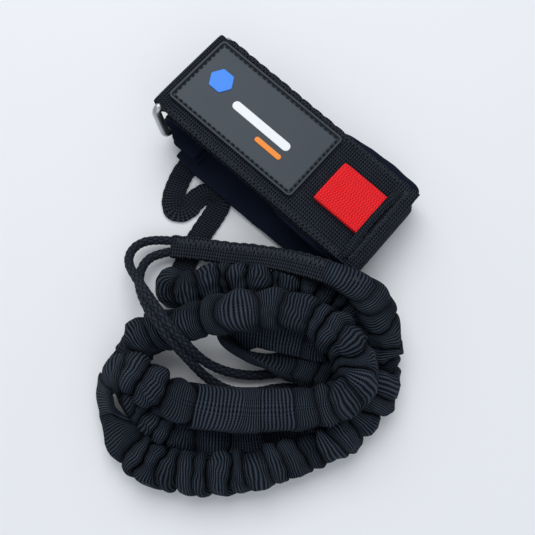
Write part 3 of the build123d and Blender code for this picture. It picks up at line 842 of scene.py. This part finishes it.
def tube_rings(line, run, flat):
    """The gathered surface: lobes that bulge over the deep creases between them."""
    rng = np.random.default_rng(SEED)
    total = run[-1]
    starts = fold_starts(total, run, flat, rng)
    count = len(starts) - 1
    turn = turns(TUBE_AROUND)
    lower = 0.5 - 0.5 * np.tanh(2.6 * np.sin(turn))
    pitch = np.diff(starts)
    tilt = rng.normal(0, FOLD_TILT, count + 1)
    wobble = rng.normal(0, FOLD_WOBBLE, count + 1)
    phase = rng.uniform(0, 6.28, (count + 1, 3))
    low_shift = 0.5 * np.r_[pitch, pitch[-1]]
    edges = (
        starts[:, None]
        + tilt[:, None] * np.cos(turn + phase[:, :1] * 0.3)
        + wobble[:, None] * np.sin(2 * turn + phase[:, 1:2])
        + (lower[None, :] - 0.5) * low_shift[:, None]
    )
    edges[0], edges[-1] = 0.0, total
    edges = np.clip(edges, 0.0, total)
    flat_at = np.interp(starts, run, flat)
    swing = 1 + CREASE_SWING * rng.normal(0, 1, (count + 1, 1)) * np.cos(turn + phase[:, 2:3])
    crease = TUBE_CREASE_R / TUBE_R + CREASE_SPREAD * rng.normal(0, 1, (count + 1, 1))
    crease = np.clip(crease, *CREASE_RANGE) * swing
    pinch = rng.uniform(0, 1, count) < PINCH_SHARE
    dip = np.where(pinch, rng.uniform(*PINCH_DIP, count), 0.0)
    side_on = 0.5 + 0.5 * np.cos(turn[None, :] - phase[:count, :1])
    crown = (1 + rng.normal(0, LOBE_SPREAD, (count, 1))) * (1 - dip[:, None] * side_on**3)
    steps = 0.5 - 0.5 * np.cos(math.pi * np.linspace(0, 1, FOLD_STEPS, endpoint=False))
    roll_over = rng.uniform(*ROLL_OVER, count)
    boxy = rng.uniform(*LOBE_POWER, count)
    where, radial, cloth = [], [], []
    reach = 0.0
    for i in range(count):
        lying = 0.5 * (flat_at[i] + flat_at[i + 1])
        calm = 0.08 + 0.92 * np.clip((0.95 - lying) / 0.45, 0.0, 1.0)
        overhang = roll_over[i] * calm
        for t in steps:
            eased = t - overhang * math.sin(2 * math.pi * t) / (2 * math.pi)
            where.append(edges[i] + (edges[i + 1] - edges[i]) * eased)
            base = crease[i] * (1 - t) + crease[i + 1] * t
            lobe = max(math.sin(math.pi * t), 0.0) ** boxy[i]
            full = base + (crown[i] - base) * lobe
            even = 1 + (crown[i] - 1) * 0.4
            radial.append(even + (full - even) * calm)
            cloth.append(reach + t * pitch[i] * (1 + 1.1 * calm))
        reach += pitch[i] * (1 + 1.1 * calm)
    where.append(np.full(TUBE_AROUND, total))
    radial.append(crease[-1])
    cloth.append(reach)
    return np.array(where), np.array(radial), np.array(cloth)


def tube_skin(line, run, flat, roll):
    where, radial, cloth = tube_rings(line, run, flat)
    ahead, side, up = frames(line)
    turned = np.cos(roll)[:, None] * side + np.sin(roll)[:, None] * up
    up = np.cos(roll)[:, None] * up - np.sin(roll)[:, None] * side
    side = turned
    turn = turns(TUBE_AROUND)
    here = np.clip(where, 0, run[-1])
    centre = np.stack([np.interp(here, run, line[:, k]) for k in range(3)], -1)
    across = np.stack([np.interp(here, run, side[:, k]) for k in range(3)], -1)
    above = np.stack([np.interp(here, run, up[:, k]) for k in range(3)], -1)
    f = np.interp(here, run, flat)
    squareness = 1 - 0.35 * f
    half_w = TUBE_R * (1 - f) + TUBE_FLAT[0] * f
    half_h = TUBE_R * (1 - f) + TUBE_FLAT[1] * f
    to_mouth = (here - run[-1] + MOUTH_START) / MOUTH_REACH
    mouth = 1 - MOUTH_NARROWING * np.clip(to_mouth, 0, 1)
    mouth = mouth * (1 - TAIL_NARROWING * np.clip((TAIL_REACH - here) / TAIL_REACH, 0, 1))
    half_w, half_h = half_w * mouth, half_h * (1 + mouth) / 2
    c = np.sign(np.cos(turn)) * np.abs(np.cos(turn)) ** squareness
    s = np.sign(np.sin(turn)) * np.abs(np.sin(turn)) ** squareness
    rings = centre + across * (c * half_w * radial)[..., None]
    rings = rings + above * (s * half_h * radial)[..., None]
    # Painted shade: the creases between the lobes are painted dark and the lobes' crowns lit.
    crown = np.clip((radial - 0.5) / 0.5, 0.0, 1.0) ** 1.3
    return crumple(rings, 1 - 0.75 * f), turn * TUBE_R, cloth, here, crown


def crumple(rings, share):
    """Smooth uneven bulges and pinches over the folds, less where the tube lies flat."""
    rng = np.random.default_rng(SEED + 1)
    shift = np.zeros(rings.shape)
    for size, amount in CRUMPLES:
        for _ in range(CRUMPLE_WAVES):
            ahead = unit(rng.normal(0, 1, 3)) * 2 * math.pi / (size * rng.uniform(0.8, 1.3))
            push = unit(rng.normal(0, 1, 3)) * amount
            shift += np.sin(rings @ ahead + rng.uniform(0, 6.28))[..., None] * push / 2.0
    return rings + shift * share[..., None]


def push_back(ring, normal, wall, reach):
    """Moves a ring's points back behind a flat wall that stands reach nearer than the place."""
    over = (ring - wall) @ normal + reach
    ring -= normal * np.maximum(over, 0)[:, None]


def press_apart(rings, where, line, run, others):
    """Flattens the tube where it presses on itself, the rope or the sleeve."""
    middle = where.mean(axis=1)
    own = along_line(line, run, middle)
    coarse = line[::4]
    coarse_run = run[::4]
    for i, centre in enumerate(own):
        away = np.abs(coarse_run - middle[i]) > NEIGHBOUR_REACH
        near = coarse[away]
        gap = near - centre
        dist = np.linalg.norm(gap, axis=1)
        for j in np.nonzero(dist < 2 * TUBE_R)[0]:
            push_back(rings[i], gap[j] / dist[j], (centre + near[j]) / 2, -PRESS)
        for other, radius, until in others:
            if middle[i] > run[-1] - until:
                continue
            gap = other - centre
            dist = np.linalg.norm(gap, axis=1)
            for j in np.nonzero((dist < TUBE_R + radius) & (dist > radius))[0]:
                push_back(rings[i], gap[j] / dist[j], other[j], radius)
    rings[..., 2] = np.maximum(rings[..., 2], FLOOR_GAP)
    return rings


def leash_tube(material, rubber, others):
    line = smooth_line(TUBE_ROUTE, 0.001)
    run = arc_length(line)
    flat, roll = shape_along(line, run, TUBE_ROUTE)
    rings, around, cloth, where, crown = tube_skin(line, run, flat, roll)
    rings = press_apart(rings, where, line, run, others)
    tube = new_piece("leash_tube", rings, around, cloth, material, crown)
    place(tube, "cuff", "tube_webbing", "leash_coil")
    core_line = line[::3]
    ahead, side, up = frames(core_line)
    turn = turns(12)
    squeeze = np.minimum(CORE_R, 0.45 * (TUBE_R * (1 - flat) + TUBE_FLAT[1] * flat))[::3]
    ring = ovals(core_line, side, up, turn, squeeze, squeeze)
    core = new_piece("rubber_core", ring, turn * CORE_R, run[::3], rubber)
    place(core, "cuff", "rubber", "elastic_core")
    return tube


# ---- the rope, its sleeve and the tether
def rope(material):
    """A 12-strand braid: six strands each way, over one and under one."""
    line = smooth_line(ROPE_ROUTE, 0.0006)
    run = arc_length(line)
    ahead, side, up = frames(line)
    lay = 2 * math.pi / ROPE_LAY
    turn = turns(8)
    # Painted shade on each strand's inner side, towards the rope's heart.
    outside_lit = np.clip(0.15 + np.sin(turn), 0.03, 1) ** 1.3
    parts = []
    for way in (-1, 1):
        for j in range(ROPE_STRANDS):
            angle = 2 * math.pi * j / ROPE_STRANDS + way * lay * run
            over = way * np.cos(ROPE_STRANDS * lay * run)
            radius = ROPE_R - STRAND_DEPTH + STRAND_WEAVE * over
            out = side * np.cos(angle)[:, None] + up * np.sin(angle)[:, None]
            centre = line + out * radius[:, None]
            forward = unit(np.gradient(centre, axis=0))
            flank = unit(np.cross(forward, out))
            ring = ovals(centre, flank, out, turn, STRAND_WIDTH / 2, STRAND_T / 2)
            # Painted shade where a strand dives under the crossing strands, and on its inner side.
            crown = np.clip(0.5 + 0.6 * over, 0.03, 1)[:, None] * outside_lit
            yarns = turn * STRAND_YARN
            parts.append(new_piece("strand", ring, yarns, run + j * STRAND_SHIFT, material, crown))
    turn = turns(10)
    heart = ovals(line, side, up, turn, HEART_R, HEART_R)
    parts.append(new_piece("heart", heart, turn * HEART_R, run, material))
    braid = join_pieces("braided_rope", parts)
    place(braid, "cuff", "rope", "rope_loop")
    return line


def sleeve(material, thread):
    """Folded webbing sewn shut over the rope's ends, with close zigzag over its upper half."""
    line = smooth_line(SLEEVE_ROUTE, 0.0008)
    run = arc_length(line)
    body = strip(
        "webbing_sleeve", line, SLEEVE_WIDTH, SLEEVE_T, material, pitches=SLEEVE_PUCKER, wave=0.00025
    )
    place(body, "cuff", "webbing", "rope_sleeve")
    ahead, side, up = frames(line)
    ends = []
    spots = np.arange(ZIGZAG_START, run[-1] - ZIGZAG_STOP, ZIGZAG_PITCH)
    rng = np.random.default_rng(SEED + 3)
    for n, at in enumerate(spots):
        i = int(round(at / run[-1] * (len(line) - 1)))
        top = line[i] + up[i] * (SLEEVE_T / 2 + THREAD_R * 0.3)
        lean = ahead[i] * (ZIGZAG_LEAN if n % 2 else -ZIGZAG_LEAN)
        low = ZIGZAG_ACROSS[0] + rng.uniform(-0.0004, 0.0004)
        high = ZIGZAG_ACROSS[1] + rng.uniform(-0.0004, 0.0002)
        ends.append((top + side[i] * low - lean / 2, top + side[i] * high + lean / 2))
    tack = threads("sleeve_tack_threads", ends, ZIGZAG_R, thread, (0, 0, 1), 0.9)
    place(tack, "cuff", "thread", "sleeve_bartack")
    return line


def tether(material, thread):
    """The flat webbing between the cuff and the tube, folded lengthwise."""
    line = smooth_line(TETHER_ROUTE, 0.0008)
    body = strip(
        "folded_tether", line, TETHER_WIDTH, TETHER_T, material, pitches=TETHER_PUCKER, wave=0.00008
    )
    place(body, "cuff", "webbing", "tether_webbing")
    ends = []
    x = TETHER_ROUTE[0][0]
    z = TETHER_ROUTE[0][2] + TETHER_T / 2 + THREAD_R * 0.4
    for n, y in enumerate(np.linspace(*TACK_SPAN, TACK_COUNT)):
        lean = TACK_LEAN if n % 2 else -TACK_LEAN
        ends.append(((x - TACK_REACH, y - lean, z), (x + TACK_REACH, y + lean, z)))
    tack = threads("anchor_tack_threads", ends, THREAD_R, thread, (0, 0, 1), 0.8)
    place(tack, "cuff", "thread", "anchor_bartack")


# ---- the cuff
def upright(points, y, step=0.0008):
    """The smooth line of points in the XZ plane."""
    return smooth_line([(x, y, z) for x, z in points], step)


def topside(points, y, step=0.0008):
    """The smooth line of points along the sloping top: along and height."""
    return smooth_line([tuple(on_top(along, y, height)) for along, height in points], step)


def pad(material):
    """The neoprene pad: crowned, its cut edges rounded, narrower round its nose."""
    line = upright(PAD_LINE, 0.0)
    run = arc_length(line)
    nose = np.exp(-(((line[:, 0] - NOSE_X) / NOSE_REACH) ** 2))
    (first, first_reach), (last, last_reach) = PAD_ENDS
    ends = first * np.exp(-run / first_reach) + last * np.exp(-(run[-1] - run) / last_reach)
    folded = 1 / (1 + np.exp((run[np.argmax(line[:, 0])] - 0.004 - run) / 0.003))
    tucked = 0.5 - 0.5 * np.tanh((line[:, 0] - PAD_TUCK_X) / PAD_TUCK_REACH)
    near_side = 1 - PAD_NEAR[0] * nose - PAD_NEAR[1] * folded - ends
    far_side = 1 - PAD_FAR[0] * nose - PAD_FAR[1] * folded * tucked - ends
    shares = np.stack([far_side, near_side], -1)
    body = strip("padded_sleeve", line, PAD_WIDTH, PAD_T, material, ACROSS, None, 0.0004, shares)
    place(body, "cuff", "neoprene", "neoprene_pad")


def straps(cloth, loop, hook):
    """The base strap, the flap and the two fastener faces between them."""
    line = upright(STRAP_LINE, STRAP_Y)
    base = strip("strap_webbing", line, STRAP_WIDTH, STRAP_T, cloth, ACROSS, STRAP_PUCKER, 0.0001)
    place(base, "cuff", "webbing", "base_strap")
    line = topside(FLAP_LINE, FLAP_Y)
    neck = 1 - NECK_NARROWING * np.clip((NECK_END - arc_length(line)) / NECK_REACH, 0.0, 1.0)
    flap = strip("flap_webbing", line, FLAP_WIDTH, FLAP_T, cloth, ACROSS, FLAP_PUCKER, 0.0001, neck)
    place(flap, "flap", "webbing", "flap_strap")
    wide = FLAP_WIDTH - HEM_INSET
    for name, look, body, slot, node, span, y, height, width, thick, pucker in (
        ("loop_face", loop, "cuff", "fastener", "loop_fastener", LOOP_SPAN, STRAP_Y, LOOP_HEIGHT,
         FASTENER_WIDTH, LOOP_T, None),
        ("hook_face", hook, "flap", "fastener", "hook_fastener", HOOK_SPAN, STRAP_Y, HOOK_HEIGHT,
         FASTENER_WIDTH, HOOK_T, None),
        ("turned_hem", cloth, "flap", "webbing", "flap_lining", HEM_SPAN, FLAP_Y, HEM_HEIGHT,
         wide, HEM_T, HEM_PUCKER),
    ):
        line = topside([(along, height) for along in (span[0], sum(span) / 2, span[1])], y)
        place(strip(name, line, width, thick, look, ACROSS, pucker), body, slot, node)


def rounded_loop(length, width, radius, inset, count=10):
    """A rounded rectangle's outline, drawn in by inset."""
    a, b = length / 2 - inset, width / 2 - inset
    r = max(radius - inset, 0.0002)
    points = []
    for quarter, (sx, sy) in enumerate(((1, 1), (-1, 1), (-1, -1), (1, -1))):
        for k in range(count):
            angle = math.pi / 2 * (quarter + k / (count - 1))
            points.append((sx * (a - r) + r * math.cos(angle), sy * (b - r) + r * math.sin(angle)))
    return points


def hexagon_loop(radius, corner, inset, count=5):
    """A hexagon's outline with rounded corners, drawn in by inset."""
    reach = radius - corner * 2 / math.sqrt(3) - max(inset - corner, 0.0) * 2 / math.sqrt(3)
    r = max(corner - inset, 0.0001)
    points = []
    for side in range(6):
        middle = math.pi / 3 * side
        for k in range(count):
            angle = middle + math.pi / 3 * (k / (count - 1) - 0.5)
            x = reach * math.cos(middle) + r * math.cos(angle)
            points.append((x, reach * math.sin(middle) + r * math.sin(angle)))
    return points


def raised_plate(name, outline, levels, middle, base, material):
    """A moulded shape on the top: its outline at each inset and height, and how lit it is."""
    rings = []
    for inset, height, _ in levels:
        loop = np.array(outline(inset))
        tall = np.full(len(loop), base + height)
        rings.append(np.c_[loop[:, 0] + middle[0], loop[:, 1] + middle[1], tall])
    rings = top_frame(np.array(rings))
    count = rings.shape[1]
    shade = np.array([level[2] for level in levels])
    crown = np.repeat(shade[:, None], count, 1)
    around, along = np.arange(count) * 0.001, np.arange(len(rings)) * 0.001
    return new_piece(name, rings, around, along, material, crown)


def plate_levels():
    """Levels of a plain mark with a rounded upper edge."""
    levels = [(0.0, 0.0, 1.0), (0.0, MARK_T - MARK_BEVEL, 1.0)]
    for k in range(1, 5):
        angle = math.pi / 2 * k / 4
        inset = MARK_BEVEL * (1 - math.cos(angle))
        levels.append((inset, MARK_T - MARK_BEVEL * (1 - math.sin(angle)), 1.0))
    levels.append((MARK_BEVEL + 0.0006, MARK_T, 1.0))
    return levels


def patch(rubber, blue, white, orange, thread):
    """The moulded patch: rounded rim, stitch channel, and three plain raised marks."""
    length, width = PATCH_SIZE
    body = raised_plate(
        "moulded_patch", partial(rounded_loop, length, width, PATCH_CORNER),
        PATCH_LEVELS, PATCH_MIDDLE, FLAP_TOP, rubber,
    )
    place(body, "flap", "patch", "patch")
    base = FLAP_TOP + PATCH_T
    x0, y0 = PATCH_MIDDLE[0] - length / 2, PATCH_MIDDLE[1]
    outlines = (hexagon_loop, rounded_loop, rounded_loop)
    for mark, loop, colour in zip(MARKS, outlines, (blue, white, orange)):
        name, slot, node, size, (x, y) = mark
        outline = partial(loop, *size)
        middle = (x0 + x, y0 + y)
        mark = raised_plate(name, outline, plate_levels(), middle, base - MARK_SINK, colour)
        place(mark, "flap", slot, node)
    inset = PATCH_SEAM_INSET
    xs = (x0 + inset, x0 + length - inset)
    ys = (y0 - width / 2 + inset, y0 + width / 2 - inset)
    corners = [(xs[0], ys[0]), (xs[1], ys[0]), (xs[1], ys[1]), (xs[0], ys[1])]
    ends = []
    for a, b in zip(corners, corners[1:] + corners[:1]):
        for p, q in stitch_row((*a, base), (*b, base)):
            ends.append((top_frame(p), top_frame(q)))
    seam = threads("patch_threads", ends, PATCH_THREAD_R, thread, TOP_UP, 0.6)
    place(seam, "flap", "thread", "patch_stitching")


def overlock(y, start, end, reach):
    """Close cross threads that bind an edge of the flap, from start to end along it."""
    rng = np.random.default_rng(SEED + int(abs(y) * 1e5))
    ends = []
    height = FLAP_TOP + OVERLOCK_LIFT
    for n, along in enumerate(np.arange(start, end, OVERLOCK_PITCH)):
        lean = OVERLOCK_LEAN * (1 if n % 2 else -1) + rng.uniform(*OVERLOCK_STRAY)
        a = (along - lean, y, height)
        b = (along + lean, y + reach + rng.uniform(-0.0002, 0.0002), height)
        ends.append((top_frame(a), top_frame(b)))
    return ends


def edge_threads(thread):
    """The bound edges of the flap, and the rows that hold the loop face on the base strap."""
    near = FLAP_Y - FLAP_WIDTH / 2 + OVERLOCK_INSET
    far = FLAP_Y + FLAP_WIDTH / 2 - OVERLOCK_INSET
    start, end = OVERLOCK_SPAN
    beside, past, opposite = OVERLOCK_REACH
    clear = PATCH_MIDDLE[0] + PATCH_SIZE[0] / 2 + 0.001
    ends = overlock(near, start, clear, beside) + overlock(near, clear, end, past)
    ends += overlock(far, start, end, -opposite)
    rows = threads("edge_threads", ends, OVERLOCK_R, thread, TOP_UP, 0.9)
    place(rows, "flap", "thread", "flap_edge_stitching")
    height = STRAP_Z + STRAP_T
    ends = []
    for side in (-1, 1):
        y = STRAP_Y + side * (FASTENER_WIDTH / 2 + 0.0009)
        for p, q in stitch_row((LOOP_SPAN[0], y, height), (LOOP_SPAN[1], y, height)):
            ends.append((top_frame(p), top_frame(q)))
    rows = threads("base_threads", ends, THREAD_R, thread, TOP_UP, 0.6)
    place(rows, "cuff", "thread", "base_stitching")


def keeper(material, thread):
    """The folded strip round the ring's lower bar, and the two rows that close it."""
    line = upright(KEEPER_LINE, STRAP_Y)
    beside = KEEPER_FLARE / (1 + np.exp((KEEPER_FLARE_X - line[:, 0]) / 0.0008))
    shares = np.stack([np.ones(len(line)), 1 + beside], -1)
    body = strip("keeper_fold", line, KEEPER_WIDTH, KEEPER_T, material, ACROSS, None, 0.0002, shares)
    place(body, "cuff", "neoprene", "ring_keeper")
    ends = []
    reach = KEEPER_WIDTH / 2 - KEEPER_ROW_INSET
    for x in KEEPER_ROWS:
        ends += stitch_row((x, STRAP_Y - reach, KEEPER_TOP), (x, STRAP_Y + reach, KEEPER_TOP))
    rows = threads("keeper_threads", ends, THREAD_R, thread, (0, 0, 1), 0.6)
    place(rows, "cuff", "thread", "keeper_stitching")


def pull_tab(red, welting, thread):
    """The doubled red tab, the rolled welt over its end and the fuzzy seam beside it."""
    line = topside(TAB_LINE, TAB_Y, 0.0004)
    tab = strip("red_tab", line, TAB_WIDTH, TAB_T, red, ACROSS, TAB_PUCKER, 0.00008)
    place(tab, "tab", "red_webbing", "pull_tab")
    line = smooth_line([tuple(on_top(*point)) for point in WELT_LINE], 0.0005)
    run = arc_length(line) / arc_length(line)[-1]
    taper = np.clip(np.minimum(run, 1 - run) * 9, 0.25, 1.0) ** 0.5
    welt = strip(
        "rolled_welt", line, WELT_WIDTH, WELT_T, welting, None, WELT_PUCKER, 0.0003, taper, 0.9
    )
    place(welt, "flap", "webbing", "tab_welt")
    rng = np.random.default_rng(SEED + 9)
    ends = []
    for n in range(SEAM_COUNT):
        y = FLAP_Y + SEAM_REACH * (2 * n / (SEAM_COUNT - 1) - 1)
        lean = SEAM_LEAN * (1 if n % 2 else -1) + rng.uniform(-0.0004, 0.0004)
        start = SEAM_START + rng.uniform(-0.0003, 0.0003)
        reach = SEAM_LENGTH + rng.uniform(-0.0006, 0.0004)
        height = FLAP_TOP + rng.uniform(0.0001, 0.0007)
        far_end = on_top(start + reach, y + lean, height - 0.0002)
        ends.append((on_top(start, y - lean, height), far_end))
    seam = threads("seam_threads", ends, SEAM_R, thread, TOP_UP, 1.4)
    place(seam, "flap", "thread", "tab_seam")


def anchor(cloth):
    """The tether's end, folded in layers under the pad's low end."""
    layers = []
    x = sum(ANCHOR_X) / 2
    for height, thick in ANCHOR_LAYERS:
        points = [(x, y, height) for y in (ANCHOR_Y[0], sum(ANCHOR_Y) / 2, ANCHOR_Y[1])]
        line = smooth_line(points, 0.0012)
        width = ANCHOR_X[1] - ANCHOR_X[0]
        layers.append(strip("layer", line, width, thick, cloth, None, ANCHOR_PUCKER))
    body = join_pieces("folded_anchor", layers)
    place(body, "cuff", "webbing", "leash_anchor")


def paint_ring(material):
    """The steel ring keeps its CAD shape."""
    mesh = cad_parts["cuff_ring"].data
    mesh.materials.clear()
    mesh.materials.append(material)


# ---- run
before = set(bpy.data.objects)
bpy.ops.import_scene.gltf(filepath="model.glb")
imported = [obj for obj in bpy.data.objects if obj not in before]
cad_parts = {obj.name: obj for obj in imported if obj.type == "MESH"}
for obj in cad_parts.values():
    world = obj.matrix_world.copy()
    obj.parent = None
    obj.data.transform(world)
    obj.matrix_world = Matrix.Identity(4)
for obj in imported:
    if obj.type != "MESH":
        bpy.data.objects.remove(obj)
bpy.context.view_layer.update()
set_camera()
set_lights()
set_floor()

black_webbing = webbing("black_webbing", BLACK, STRAP_LIT, 0.0014, 0.0018, wander=0.6, grid=0.42)
tube_cloth = webbing("tube_webbing_cloth", BLACK, BLACK_LIT, rib=0.0017, wander=0.35, grid=0.22)
red_webbing = webbing("red_webbing", RED, RED_LIT, rib=0.0015, warp=0.0014, zigzag=0.0014)
black_thread = thread_yarn("black_thread", BLACK, (0.035, 0.042, 0.058))
binding_thread = thread_yarn("binding_thread", BLACK, (0.062, 0.071, 0.090))
core_rubber = moulded("core_rubber", (0.01, 0.01, 0.01), (0.03, 0.03, 0.03))
patch_rubber = moulded("patch_rubber", (0.003, 0.006, 0.010), (0.043, 0.061, 0.082), 0.45)
blue_print = moulded("blue_print", (0.035, 0.20, 0.78), (0.06, 0.28, 0.92))
white_print = moulded("white_print", (0.72, 0.75, 0.80), (0.88, 0.90, 0.94))
orange_print = moulded("orange_print", (0.78, 0.20, 0.02), (0.92, 0.30, 0.04))
navy_knit = knit("navy_knit", (0.0019, 0.0032, 0.0098), (0.0095, 0.0142, 0.0320))
rope_yarn = yarn("rope_yarn", BLACK, (0.042, 0.050, 0.070))
loop_pile = fuzz("loop_pile", BLACK, (0.022, 0.026, 0.036), 1500, 0.0004)
hook_pile = fuzz("hook_pile", BLACK, (0.020, 0.023, 0.030), 900, 0.0003)

rope_line = rope(rope_yarn)
sleeve_line = sleeve(black_webbing, binding_thread)
tether(black_webbing, black_thread)
# Each cord that presses on the tube: its points, its radius, and where the tube's end covers it.
others = [(rope_line[::4], ROPE_R, 0.0), (sleeve_line[::3], SLEEVE_PRESS_R, SLEEVE_GRIP)]
leash_tube(tube_cloth, core_rubber, others)
pad(navy_knit)
straps(black_webbing, loop_pile, hook_pile)
patch(patch_rubber, blue_print, white_print, orange_print, black_thread)
edge_threads(binding_thread)
keeper(navy_knit, black_thread)
pull_tab(red_webbing, black_webbing, binding_thread)
anchor(black_webbing)
paint_ring(steel("ring_steel"))
